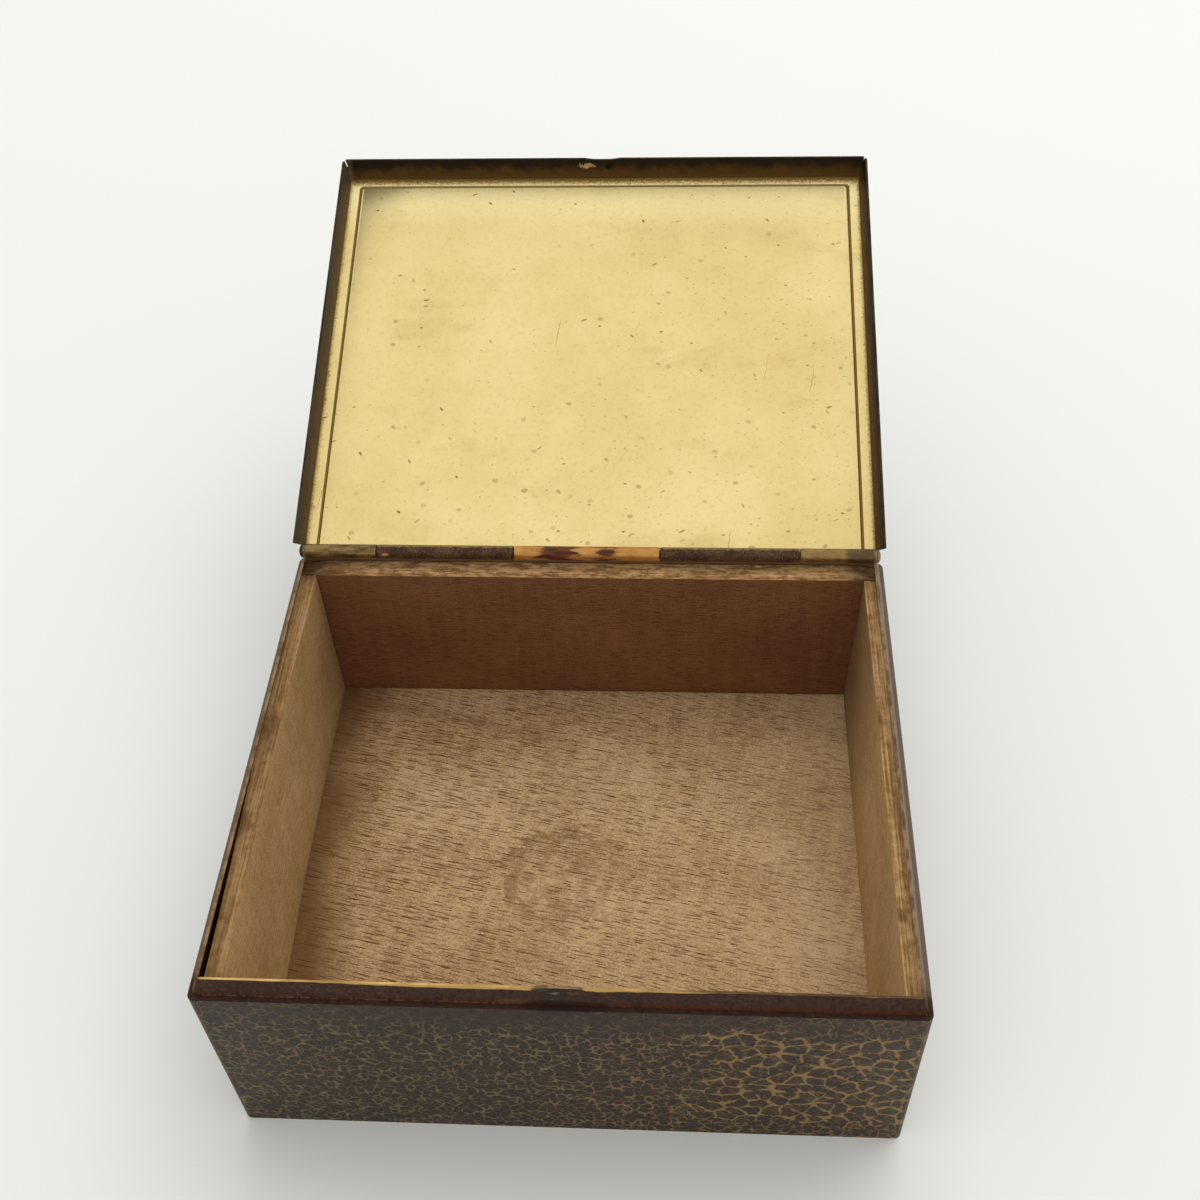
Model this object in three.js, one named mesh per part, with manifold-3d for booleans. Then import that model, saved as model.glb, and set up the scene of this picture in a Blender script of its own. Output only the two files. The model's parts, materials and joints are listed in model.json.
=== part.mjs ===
// Hinged sheet-metal trinket box with a wooden lining.
// Millimetres, +Z up, +Y towards the hinge, the origin at the middle of the underside.
// The lid is drawn shut and then swung back about its pin to the angle of its open stop.

import * as THREE from 'three';
import { mergeVertices } from 'three/addons/utils/BufferGeometryUtils.js';
import Module from 'manifold-3d';

const wasm = await Module();
wasm.setup();

// Driving dimensions of the metal case
const caseWidth = 120;
const caseDepth = 100;
const wallHeight = 45.6;
const wallCornerRadius = 1.2;
const sheet = 0.5;
const baseThickness = 0.8;
const seamClearance = 0.1;

// The lip that the lid shuts over: it stands on a narrow ledge and leans inwards
const lipRise = 3.4;
const lipLean = 1.2;
const lipCornerOpening = 1.4;

// The lid
const lidClearance = 0.45;
const lidHeadroom = 1.15;
const rimGap = 0.3;
const lidCornerSlit = 0.8;
const creaseSideMargin = 1.7;
const creaseFrontMargin = 2.4;
const creaseWidth = 0.6;
const creaseDepth = 0.3;
const openAngle = 161;

// The hinge: knuckles rolled from the back wall and from the lid take turns on one wire pin
const pinRadius = 0.85;
const pinClearance = 0.1;
const pinHeadRim = 0.45;
const pinHeadLength = 0.7;
const hingeClearance = 0.3;
const knuckleGap = 0.3;
const lidKnuckleLength = 28.2;
const middleKnuckleLength = 29.7;

// The catch: a bead on the front lip and a dimple in the lid's front flange
const beadLength = 4;
const beadHeight = 1.8;
const beadRise = 0.2;
const dimpleRise = 0.15;

// The wooden lining
const boardThickness = 3.2;
const floorThickness = 7;
const liningClearance = 0.2;
const liningTopGap = 0.3;

// How finely round stretches are divided: steps in a quarter, a half and a full turn
const cornerSteps = 4;
const knuckleSteps = 12;
const beadSteps = 16;
const sharpCornerRadius = 0.1;
const weldDistance = 1e-5;

// Sizes worked out from the driving dimensions
const halfWidth = caseWidth / 2;
const halfDepth = caseDepth / 2;
const lipSlope = lipLean / lipRise;
const sheetAcross = sheet * Math.hypot(1, lipSlope);
const ledge = sheetAcross + lidClearance - lipSlope * rimGap;
const lipTop = wallHeight + lipRise;
const knuckleBore = pinRadius + pinClearance;
const knuckleRadius = knuckleBore + sheet;
const axisY = halfDepth - knuckleRadius;
const panelBottom = lipTop + lidHeadroom;
const panelTop = panelBottom + sheet;
const axisZ = panelBottom - knuckleBore;
const rimZ = wallHeight + rimGap;
const lidStart = knuckleRadius + hingeClearance;
const pinHeadRadius = pinRadius + pinHeadRim;
const floorTop = baseThickness + floorThickness;
const liningTop = wallHeight - sheet - liningTopGap;
const aboveAll = lipTop + lipRise;

// Distance of the lip's outer face from the case's outer face, at height z
function lipInset(z) {
  return ledge + lipSlope * (z - wallHeight);
}

// Distance of the lid flange's inner face from the case's outer face, at height z
function flangeInset(z) {
  return lipInset(z) - lidClearance;
}

const earTop = axisZ + knuckleRadius;
const hingeHalf = halfWidth - lipInset(earTop) - sheetAcross - hingeClearance;
const foldInset = flangeInset(panelBottom);

// From three.js geometry to a solid and back
function solidOf(geometry) {
  geometry.deleteAttribute('normal');
  geometry.deleteAttribute('uv');
  const merged = mergeVertices(geometry, weldDistance);
  const vertProperties = new Float32Array(merged.attributes.position.array);
  const triVerts = new Uint32Array(merged.index.array);
  return new wasm.Manifold(new wasm.Mesh({ numProp: 3, vertProperties, triVerts }));
}

function geometryOf(solid) {
  const mesh = solid.getMesh();
  const geometry = new THREE.BufferGeometry();
  geometry.setAttribute('position', new THREE.BufferAttribute(new Float32Array(mesh.vertProperties), 3));
  geometry.setIndex(new THREE.BufferAttribute(new Uint32Array(mesh.triVerts), 1));
  geometry.computeVertexNormals();
  return geometry;
}

// A block between two opposite corners
function block(x0, x1, y0, y1, z0, z1) {
  const geometry = new THREE.BoxGeometry(x1 - x0, y1 - y0, z1 - z0);
  geometry.translate((x0 + x1) / 2, (y0 + y1) / 2, (z0 + z1) / 2);
  return solidOf(geometry);
}

// A flat outline pulled along one axis. `across` and `up` are the axes that the outline's
// own two directions take, and the pull goes the third way.
function pull(shape, length, across, up, start) {
  const geometry = new THREE.ExtrudeGeometry(shape, {
    depth: length,
    bevelEnabled: false,
    curveSegments: knuckleSteps,
  });
  const along = new THREE.Vector3().crossVectors(across, up);
  const place = new THREE.Matrix4().makeBasis(across, up, along).setPosition(start);
  geometry.applyMatrix4(place);
  return solidOf(geometry);
}

const alongX = new THREE.Vector3(1, 0, 0);
const alongY = new THREE.Vector3(0, 1, 0);
const alongZ = new THREE.Vector3(0, 0, 1);

function outlineOf(points) {
  return new THREE.Shape(points.map(([a, b]) => new THREE.Vector2(a, b)));
}

// A round bar along X, about the hinge axis
function hingeBar(radius, x0, x1) {
  const disc = new THREE.Shape();
  disc.absarc(axisY, axisZ, radius, 0, 2 * Math.PI, false);
  return pull(disc, x1 - x0, alongY, alongZ, new THREE.Vector3(x0, 0, 0));
}

// A rectangle with round corners that stands `inset` inside the case's outer faces
function cornerRadius(inset) {
  return Math.max(wallCornerRadius - inset, sharpCornerRadius);
}

function roundedLoop(inset) {
  const radius = cornerRadius(inset);
  const x = halfWidth - inset - radius;
  const y = halfDepth - inset - radius;
  const centres = [[x, y], [-x, y], [-x, -y], [x, -y]];
  const loop = [];
  centres.forEach(([cx, cy], corner) => {
    for (let step = 0; step <= cornerSteps; step += 1) {
      const angle = (corner + step / cornerSteps) * (Math.PI / 2);
      loop.push([cx + radius * Math.cos(angle), cy + radius * Math.sin(angle)]);
    }
  });
  return loop;
}

function roundedBlock(inset, z0, z1) {
  const start = new THREE.Vector3(0, 0, z0);
  return pull(outlineOf(roundedLoop(inset)), z1 - z0, alongX, alongY, start);
}

// A closed profile of [inset, z] points, carried once round the case
function framed(profile) {
  const loops = profile.map(([inset, z]) => roundedLoop(inset).map(([x, y]) => [x, y, z]));
  const count = loops[0].length;
  const indices = [];
  loops.forEach((loop, row) => {
    const next = (row + 1) % loops.length;
    for (let i = 0; i < count; i += 1) {
      const j = (i + 1) % count;
      const a = row * count + i;
      const b = row * count + j;
      const c = next * count + j;
      const d = next * count + i;
      indices.push(a, b, c, a, c, d);
    }
  });
  const geometry = new THREE.BufferGeometry();
  geometry.setAttribute('position', new THREE.Float32BufferAttribute(loops.flat(2), 3));
  geometry.setIndex(indices);
  return solidOf(geometry);
}

// The same solid on the other side of the middle plane. Mirroring turns the faces inside
// out, and running the index backwards turns them out again.
function mirrored(solid) {
  const geometry = geometryOf(solid);
  geometry.scale(-1, 1, 1);
  geometry.index.array.reverse();
  return solidOf(geometry);
}

// Knuckles in order from -X: the case's and the lid's take turns
function knuckleSpans() {
  const middle = middleKnuckleLength / 2;
  const outer = middle + lidKnuckleLength;
  const edges = [-hingeHalf, -outer, -middle, middle, outer, hingeHalf];
  return edges.slice(0, -1).map((edge, i) => ({
    onLid: i % 2 === 1,
    x0: edge + (i > 0 ? knuckleGap / 2 : 0),
    x1: edges[i + 1] - (i < edges.length - 2 ? knuckleGap / 2 : 0),
  }));
}

const caseSpans = knuckleSpans().filter((span) => !span.onLid);
const lidSpans = knuckleSpans().filter((span) => span.onLid);

function rolledKnuckle({ x0, x1 }) {
  const ring = new THREE.Shape();
  ring.absarc(axisY, axisZ, knuckleRadius, 0, 2 * Math.PI, false);
  const bore = new THREE.Path();
  bore.absarc(axisY, axisZ, knuckleBore, 0, 2 * Math.PI, true);
  ring.holes.push(bore);
  return pull(ring, x1 - x0, alongY, alongZ, new THREE.Vector3(x0, 0, 0));
}

// A wedge along the diagonal of the front right corner, from one inset out to another
function cornerWedge(footZ, footWidth, topZ, topWidth, outerInset, innerInset) {
  const outline = outlineOf([
    [-footWidth / 2, footZ],
    [footWidth / 2, footZ],
    [topWidth / 2, topZ],
    [-topWidth / 2, topZ],
  ]);
  const across = new THREE.Vector3(1, 1, 0).normalize();
  const start = new THREE.Vector3(halfWidth - innerInset, -halfDepth + innerInset, 0);
  const reach = Math.SQRT2 * (innerInset - outerInset);
  return pull(outline, reach, across, alongZ, start);
}

// A shallow swelling on a leaning sheet at the middle of the front
function swelling(length, height, rise, y, z, lean) {
  const geometry = new THREE.SphereGeometry(1, beadSteps, beadSteps / 2);
  geometry.scale(length / 2, rise, height / 2);
  geometry.rotateX(-lean);
  geometry.translate(0, y, z);
  return solidOf(geometry);
}

const leanAngle = Math.atan(lipSlope);

// The case: four walls bent from one strip, the ledge and lip on three sides, and the
// hinge's outer and middle knuckles rolled from the top of the back wall.
function caseShell() {
  const under = wallHeight - sheet;
  const innerFace = (z) => lipInset(z) + sheetAcross;
  const band = framed([
    [0, 0],
    [0, wallHeight],
    [ledge, wallHeight],
    [lipInset(lipTop), lipTop],
    [innerFace(lipTop), lipTop],
    [innerFace(under), under],
    [sheet, under],
    [sheet, 0],
  ]);
  const rearLip = block(
    -caseWidth, caseWidth, axisY - lidStart, caseDepth, under, aboveAll);
  let shell = band.subtract(rearLip);

  const sideLip = pull(
    outlineOf([
      [halfWidth - sheet, under - sheet],
      [halfWidth, under - sheet],
      [halfWidth, wallHeight],
      [halfWidth - ledge, wallHeight],
      [halfWidth - lipInset(lipTop), lipTop],
      [halfWidth - innerFace(lipTop), lipTop],
      [halfWidth - innerFace(under), under],
      [halfWidth - sheet, under],
    ]),
    lidStart + knuckleRadius + sheet,
    alongX, alongZ, new THREE.Vector3(0, halfDepth, 0));
  const earSheet = pull(
    outlineOf([
      [halfWidth - lipInset(under), under],
      [halfWidth - lipInset(earTop), earTop],
      [halfWidth - innerFace(earTop), earTop],
      [halfWidth - innerFace(under), under],
    ]),
    2 * knuckleRadius,
    alongX, alongZ, new THREE.Vector3(0, halfDepth, 0));
  const earRound = hingeBar(knuckleRadius, 0, caseWidth);
  const sideEnd = sideLip.add(earSheet.intersect(earRound))
    .intersect(roundedBlock(0, 0, aboveAll));
  shell = shell.add(sideEnd).add(mirrored(sideEnd));

  const notchZ = axisZ - knuckleRadius;
  const backSpan = halfWidth - innerFace(under);
  const backInner = halfDepth - sheet;
  shell = shell.add(block(-backSpan, backSpan, backInner, halfDepth, under - sheet, notchZ));
  caseSpans.forEach((span) => {
    shell = shell.add(block(span.x0, span.x1, backInner, halfDepth, notchZ - sheet, axisZ));
    shell = shell.add(rolledKnuckle(span));
  });
  shell = shell.subtract(hingeBar(knuckleBore, -caseWidth, caseWidth));

  const opening = cornerWedge(
    wallHeight, sheet, lipTop + sheet, lipCornerOpening, ledge, innerFace(lipTop) + sheet);
  shell = shell.subtract(opening).subtract(mirrored(opening));

  const beadZ = wallHeight + lipRise / 2;
  const beadY = -halfDepth + lipInset(beadZ);
  return shell.add(swelling(beadLength, beadHeight, beadRise, beadY, beadZ, leanAngle));
}

// The lid: a panel with a crease pressed along three sides, a splayed flange that drops over
// the lip, and two rolled knuckles. The crease is a groove inside and a low rib outside.
function lidShell() {
  const outerFace = (z) => flangeInset(z) - sheetAcross;
  const flange = framed([
    [outerFace(rimZ), rimZ],
    [outerFace(panelTop), panelTop],
    [foldInset + sheet, panelTop],
    [foldInset + sheet, panelBottom],
    [foldInset, panelBottom],
    [flangeInset(rimZ), rimZ],
  ]);
  const plate = roundedBlock(foldInset, panelBottom, panelTop);
  const creaseX = halfWidth - foldInset - creaseSideMargin;
  const creaseY = halfDepth - foldInset - creaseFrontMargin;
  const within = (inset, z0, z1) => block(
    -creaseX + inset, creaseX - inset, -creaseY + inset, axisY, z0, z1);
  const rib = within(-sheet / 2, panelBottom, panelTop + creaseDepth)
    .subtract(within(creaseWidth + sheet / 2, panelBottom - sheet, aboveAll));
  const groove = within(0, panelBottom - sheet, panelBottom + creaseDepth)
    .subtract(within(creaseWidth, panelBottom - 2 * sheet, aboveAll));
  let shell = flange.add(plate).add(rib).subtract(groove);

  const rear = block(
    -caseWidth, caseWidth, axisY - lidStart, caseDepth, rimZ - sheet, aboveAll);
  shell = shell.subtract(rear);
  lidSpans.forEach((span) => {
    const leaf = block(span.x0, span.x1, axisY - lidStart - sheet, axisY, panelBottom, panelTop);
    shell = shell.add(leaf).add(rolledKnuckle(span));
  });
  shell = shell.subtract(hingeBar(knuckleBore, -caseWidth, caseWidth));

  const slit = cornerWedge(
    rimZ - sheet, lidCornerSlit, panelBottom, lidCornerSlit / 2, -sheet, foldInset);
  shell = shell.subtract(slit).subtract(mirrored(slit));

  const dimpleZ = rimZ + beadHeight / 2;
  const dimpleY = -halfDepth + flangeInset(dimpleZ);
  return shell.add(swelling(beadLength, beadHeight / 2, dimpleRise, dimpleY, dimpleZ, leanAngle));
}

// The pin runs through every knuckle and both ears, and its ends are spread into heads
function hingePin() {
  const headFrom = halfWidth - lipInset(axisZ - pinHeadRadius) + pinClearance;
  const headTo = headFrom + pinHeadLength;
  const head = hingeBar(pinHeadRadius, headFrom, headTo);
  return hingeBar(pinRadius, -headTo, headTo).add(head).add(mirrored(head));
}

function basePlate() {
  return roundedBlock(sheet + seamClearance, 0, baseThickness);
}

function floorBoard() {
  return roundedBlock(sheet + liningClearance, baseThickness, floorTop);
}

// The upright boards stand on the floor board. Front and back run the full width, and the
// side boards fit between them.
const liningX = halfWidth - sheet - liningClearance;
const liningY = halfDepth - sheet - liningClearance;

function endBoard(side) {
  const outer = side * liningY;
  const inner = outer - side * boardThickness;
  const room = roundedBlock(sheet + liningClearance, floorTop, liningTop);
  return room.intersect(block(
    -halfWidth, halfWidth, Math.min(inner, outer), Math.max(inner, outer), floorTop, liningTop));
}

function sideBoard(side) {
  const outer = side * liningX;
  const inner = outer - side * boardThickness;
  const reach = liningY - boardThickness - liningClearance;
  return block(Math.min(inner, outer), Math.max(inner, outer), -reach, reach, floorTop, liningTop);
}

// Finishes
const lacquer = { color: 0x4a3c33, roughness: 0.42, metalness: 0.25 };
const brass = { color: 0xdcc27c, roughness: 0.36, metalness: 0.9 };
const wire = { color: 0x5a4a2c, roughness: 0.5, metalness: 0.8 };
const tanWood = { color: 0xae8f68, roughness: 0.72, metalness: 0 };
const sideWood = { color: 0x97734a, roughness: 0.72, metalness: 0 };
const redWood = { color: 0x6e4529, roughness: 0.72, metalness: 0 };

function piece(name, solid, finish) {
  const mesh = new THREE.Mesh(geometryOf(solid), new THREE.MeshStandardMaterial(finish));
  mesh.name = name;
  return mesh;
}

const box = new THREE.Group();
box.add(piece('case_shell', caseShell(), lacquer));
box.add(piece('base_plate', basePlate(), lacquer));
box.add(piece('floor_board', floorBoard(), tanWood));
box.add(piece('front_board', endBoard(-1), sideWood));
box.add(piece('back_board', endBoard(1), redWood));
box.add(piece('left_board', sideBoard(-1), sideWood));
box.add(piece('right_board', sideBoard(1), sideWood));
box.add(piece('hinge_pin', hingePin(), wire));

// The lid is drawn shut, so inside its turned group it is set back by the hinge's place
const lidSheet = piece('lid_shell', lidShell(), brass);
lidSheet.position.set(0, -axisY, -axisZ);
const lid = new THREE.Group();
lid.position.set(0, axisY, axisZ);
lid.rotation.x = -THREE.MathUtils.degToRad(openAngle);
lid.add(lidSheet);
box.add(lid);

export default box;
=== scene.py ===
# %% [markdown]
# # A small brass box, from bent sheet to worn lacquer
#
# The box is folded from thin sheet brass, lacquered brown outside so that it crackles, and
# lined with thin boards. Its lid is one more sheet, hung on a wire pin by rolled knuckles.
# The frame that is loaded here holds the true sizes and the hinge. Every piece below takes
# its place from it, and Blender adds what the frame leaves out: bends, wear and finishes.

# %% Load the frame
import json
import math

import bmesh
import bpy
from mathutils import Matrix, Vector


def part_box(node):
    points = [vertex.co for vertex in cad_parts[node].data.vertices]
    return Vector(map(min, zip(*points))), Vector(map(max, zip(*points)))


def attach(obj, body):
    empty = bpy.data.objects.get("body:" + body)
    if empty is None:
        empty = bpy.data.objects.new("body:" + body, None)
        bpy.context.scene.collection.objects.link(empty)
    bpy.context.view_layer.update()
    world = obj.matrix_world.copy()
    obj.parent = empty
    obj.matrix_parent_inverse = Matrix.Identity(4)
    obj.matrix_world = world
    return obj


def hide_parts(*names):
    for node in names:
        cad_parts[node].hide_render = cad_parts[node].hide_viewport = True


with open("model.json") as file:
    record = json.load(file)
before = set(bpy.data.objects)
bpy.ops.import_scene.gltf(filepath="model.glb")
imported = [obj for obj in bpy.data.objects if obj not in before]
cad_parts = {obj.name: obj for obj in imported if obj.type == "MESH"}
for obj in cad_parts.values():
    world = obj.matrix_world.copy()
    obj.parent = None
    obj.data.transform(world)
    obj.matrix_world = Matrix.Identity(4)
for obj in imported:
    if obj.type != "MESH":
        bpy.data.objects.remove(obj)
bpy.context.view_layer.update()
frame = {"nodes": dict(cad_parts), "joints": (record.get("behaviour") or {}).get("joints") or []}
print("nodes in the frame:", sorted(frame["nodes"]))

# %% [markdown]
# ## Sizes
#
# A size that the frame already knows is measured on it. Only what the frame can't tell, such
# as the thickness of the sheet, is written down. Blender works in metres here, so a size in
# millimetres is multiplied by `mm`.

# %% Sizes that several pieces share
mm = 0.001
case_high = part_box("case_shell")[1]
half_width = case_high.x
half_depth = case_high.y
lining_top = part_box("back_board")[1].z
hinge_joint = frame["joints"][0]
hinge = Vector(hinge_joint["pos_m"])
open_angle = math.radians(hinge_joint["range_deg"][1])
roll_radius = half_depth - hinge.y

sheet = 0.5 * mm
room_over_boards = 0.3 * mm
ledge_z = lining_top + room_over_boards + sheet
ledge_width = 0.874 * mm
lip_rise = 3.4 * mm
lip_lean = 1.2 * mm
lip_top = ledge_z + lip_rise
lean_slope = lip_lean / lip_rise
print("ledge at", round(ledge_z / mm, 2), "mm, lid opens", round(math.degrees(open_angle)), "degrees")

# %% [markdown]
# ## A few helpers for edit mode
#
# Modelling by hand is always the same round: add a primitive, select a few of its faces or
# edges, and run an operator on them. `begin` opens a fresh primitive for editing, and `pick`
# selects by a test in place of the mouse. `draw_out` extrudes what is selected, and `slice_at`
# cuts some faces along a plane, since the loop cut needs a window. `press` is a push with
# proportional editing.

# %% Helpers for edit mode
smooth_angle = math.radians(32)


def begin(name):
    """Names the primitive just added, puts its place into its mesh and opens it for editing."""
    piece = bpy.context.active_object
    piece.name = name
    piece.data.name = name
    bpy.ops.object.transform_apply(location=True, rotation=True, scale=True)
    bpy.ops.object.mode_set(mode="EDIT")
    return piece


def middle(element):
    """The middle of a vertex, an edge or a face."""
    if isinstance(element, bmesh.types.BMVert):
        return element.co
    if isinstance(element, bmesh.types.BMEdge):
        return (element.verts[0].co + element.verts[1].co) / 2
    return element.calc_center_median()


def near(value, target, slack=0.02 * mm):
    return abs(value - target) < slack


def pick(kind, test):
    """Selects the vertices, edges or faces of the edited mesh that pass the test."""
    bpy.ops.mesh.select_mode(type=kind)
    bpy.ops.mesh.select_all(action="DESELECT")
    edited = bpy.context.edit_object.data
    mesh = bmesh.from_edit_mesh(edited)
    elements = {"VERT": mesh.verts, "EDGE": mesh.edges, "FACE": mesh.faces}[kind]
    chosen = [element for element in elements if test(element)]
    for element in chosen:
        element.select_set(True)
    mesh.select_flush_mode()
    bmesh.update_edit_mesh(edited)
    return len(chosen)


def draw_out(x, y, z):
    bpy.ops.mesh.extrude_region_move(TRANSFORM_OT_translate={"value": (x, y, z)})


def slice_at(test, point, normal):
    pick("FACE", test)
    bpy.ops.mesh.bisect(plane_co=point, plane_no=normal)


def press(test, move, reach):
    """Pushes the picked vertices by a move and takes their neighbours along within the reach."""
    count = pick("VERT", test)
    bpy.ops.transform.translate(
        value=move, use_proportional_edit=True,
        proportional_edit_falloff="SMOOTH", proportional_size=reach)
    bpy.context.scene.tool_settings.use_proportional_edit = False
    return count


def turn_outwards():
    bpy.ops.mesh.select_all(action="SELECT")
    bpy.ops.mesh.remove_doubles(threshold=0.001 * mm)
    bpy.ops.mesh.normals_make_consistent(inside=False)


def use_modifier(piece, kind, **settings):
    """Adds a modifier, sets it up and applies it to the mesh."""
    modifier = piece.modifiers.new(kind.title(), kind)
    for name, value in settings.items():
        setattr(modifier, name, value)
    bpy.ops.object.modifier_apply(modifier=modifier.name)


def close(piece, body, slot, *nodes):
    """Leaves a finished piece smooth and ties it to the frame."""
    bpy.ops.object.shade_smooth_by_angle(angle=smooth_angle)
    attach(piece, body)
    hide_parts(*nodes)
    piece.select_set(False)
    print(piece.name, len(piece.data.polygons), "faces")


# %% [markdown]
# ## Helpers for finishes
#
# A finish is a small graph of nodes. Textures read Object coordinates, which are metres in
# the box's own frame, so a scale of 250 means features of about 4 mm. `put` adds a node and
# fills its sockets with numbers or with other nodes' outputs. The short functions after it
# name the few steps that every finish here is made of: `noise` varies, `ramp` turns a value
# into a share from 0 to 1, and `blend` lays one colour over another by that share.

# %% Nodes and coordinates
def colour(red, green, blue):
    """A colour written as it looks on a screen, 0 to 255, in the linear values of a shader."""
    linear = []
    for part in (red, green, blue):
        share = part / 255
        linear.append(share / 12.92 if share < 0.04045 else ((share + 0.055) / 1.055) ** 2.4)
    return (*linear, 1)


def fill(tree, socket, value):
    if isinstance(value, bpy.types.NodeSocket):
        tree.links.new(value, socket)
    else:
        socket.default_value = value


def put(tree, kind, sockets, **settings):
    node = tree.nodes.new("ShaderNode" + kind)
    for name, value in settings.items():
        setattr(node, name, value)
    for name, value in sockets.items():
        fill(tree, node.inputs[name], value)
    return node


def new_finish(name):
    finish = bpy.data.materials.new(name)
    finish.use_nodes = True
    return finish, finish.node_tree, finish.node_tree.nodes["Principled BSDF"]


def place(tree, location=(0, 0, 0), turn=(0, 0, 0)):
    """Object coordinates, moved or turned."""
    source = put(tree, "TexCoord", {}).outputs["Object"]
    sockets = {"Vector": source, "Location": location, "Rotation": turn}
    return put(tree, "Mapping", sockets).outputs["Vector"]


def stretched(tree, where, scale):
    return put(tree, "Mapping", {"Vector": where, "Scale": scale}).outputs["Vector"]


def split(tree, where):
    parts = put(tree, "SeparateXYZ", {"Vector": where}).outputs
    return parts["X"], parts["Y"], parts["Z"]


# %% Values and colours
def noise(tree, where, scale, detail=2.0, roughness=0.5):
    sockets = {"Vector": where, "Scale": scale, "Detail": detail, "Roughness": roughness}
    return put(tree, "TexNoise", sockets).outputs["Fac"]


def ramp(tree, value, start, end, low=0.0, high=1.0):
    """Rises smoothly from low to high as the value goes from start to end."""
    sockets = {"Value": value, "From Min": start, "From Max": end, "To Min": low, "To Max": high}
    return put(tree, "MapRange", sockets, interpolation_type="SMOOTHSTEP").outputs["Result"]


def maths(tree, operation, *values):
    """Works through the values from left to right."""
    result = values[0]
    for value in values[1:]:
        result = put(tree, "Math", {0: result, 1: value}, operation=operation).outputs[0]
    return result


def times(tree, *values):
    return maths(tree, "MULTIPLY", *values)


def plus(tree, *values):
    return maths(tree, "ADD", *values)


def minus(tree, first, second):
    return maths(tree, "SUBTRACT", first, second)


def largest(tree, *values):
    return maths(tree, "MAXIMUM", *values)


def away_from(tree, value, target=0.0):
    """How far a value is from a target, to either side."""
    return put(tree, "Math", {0: minus(tree, value, target)}, operation="ABSOLUTE").outputs[0]


def blend(tree, share, under, over):
    return put(tree, "Mix", {0: share, 6: under, 7: over}, data_type="RGBA").outputs[2]


def relief(tree, shader, height, depth, strength=1.0):
    sockets = {"Height": height, "Distance": depth, "Strength": strength}
    fill(tree, shader.inputs["Normal"], put(tree, "Bump", sockets).outputs["Normal"])


# %% Patterns
def vector_maths(tree, operation, first, second):
    return put(tree, "VectorMath", {0: first, 1: second}, operation=operation).outputs[0]


def ruffled(tree, where, scale, reach):
    """The same coordinates, pushed about by a noise so that straight lines wander."""
    push = put(tree, "TexNoise", {"Vector": where, "Scale": scale, "Detail": 2.0}).outputs["Color"]
    centred = vector_maths(tree, "SUBTRACT", push, (0.5, 0.5, 0.5))
    sized = put(tree, "VectorMath", {0: centred, "Scale": reach}, operation="SCALE").outputs[0]
    return vector_maths(tree, "ADD", where, sized)


def cells(tree, where, scale, feature="F1"):
    """A flat Voronoi texture: random cells with one point in each."""
    sockets = {"Vector": where, "Scale": scale}
    return put(tree, "TexVoronoi", sockets, voronoi_dimensions="2D", feature=feature).outputs


def dashes(tree, where, spacing, length, width, keep):
    """Short strokes along X, one in a cell: all sizes in mm, and only a share of them is kept."""
    spread = stretched(tree, where, (1 / (spacing[0] * mm), 1 / (spacing[1] * mm), 1))
    cell = cells(tree, spread, 1)
    away = vector_maths(tree, "SUBTRACT", spread, cell["Position"])
    sized = vector_maths(tree, "MULTIPLY", away, (2 * spacing[0] / length, 2 * spacing[1] / width, 0))
    distance = put(tree, "VectorMath", {0: sized}, operation="LENGTH").outputs["Value"]
    chance = put(tree, "SeparateColor", {"Color": cell["Color"]}).outputs
    kept = maths(tree, "LESS_THAN", chance["Red"], keep)
    return times(tree, kept, ramp(tree, chance["Green"], 0, 1, 0.4, 1), ramp(tree, distance, 1.0, 0.6))


def spot(tree, x, y, centre, ragged=0.0):
    """Distance from a point given in mm, made ragged."""
    across = minus(tree, x, centre[0] * mm)
    along = minus(tree, y, centre[1] * mm)
    squares = plus(tree, times(tree, across, across), times(tree, along, along))
    return plus(tree, put(tree, "Math", {0: squares}, operation="SQRT").outputs[0], ragged)


# %% [markdown]
# ## Crackle lacquer
#
# A hard brown top coat was brushed over a gold one. It shrank as it dried and tore into
# islands, and the gold shows between them. A Voronoi texture knows the distance to the
# border between its cells, and a narrow ramp on that distance draws the cracks. In space the
# cells would be cut at odd angles, so the texture is flat and follows a UV map that unfolds
# the sheet face by face. Three sets of cracks lie over each other: broad ones where a slow
# noise is bold, mostly on the right, thin and broken ones elsewhere, and faint hair lines
# everywhere. A crack is wider where cells meet. Towards the ledge the broad and the thin
# ones fade.

# %% Unfold a sheet
def unfold():
    """Gives each face flat coordinates in metres, seen along the axis that it faces."""
    bpy.ops.mesh.select_all(action="SELECT")
    bpy.ops.uv.cube_project(cube_size=1, correct_aspect=False)


# %% Three sets of cracks
broad_scale = 350
thin_scale = 660
hair_scale = 1150


def crack_lines(tree, where, scale, reach, soft):
    """Lines between cells, as wide as the reach says and wider where three cells meet."""
    to_border = cells(tree, where, scale, "DISTANCE_TO_EDGE")["Distance"]
    to_point = cells(tree, where, scale)["Distance"]
    wider = plus(tree, reach, ramp(tree, to_point, 0.45, 0.85, 0, 0.06))
    return ramp(tree, minus(tree, to_border, wider), soft, -soft)


def boldness(tree, where, off_ledge):
    """Where cracks are broad: by a slow noise, more to the right, less near ledge and foot."""
    x, _, z = split(tree, where)
    to_edge = maths(tree, "MINIMUM", off_ledge, z)
    drive = times(tree, noise(tree, where, 45), 0.5)
    drive = plus(tree, drive, ramp(tree, x, 2 * mm, 32 * mm, -0.2, 0.3))
    drive = minus(tree, drive, ramp(tree, to_edge, 10 * mm, mm, 0, 0.25))
    return ramp(tree, drive, 0.26, 0.6)


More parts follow.
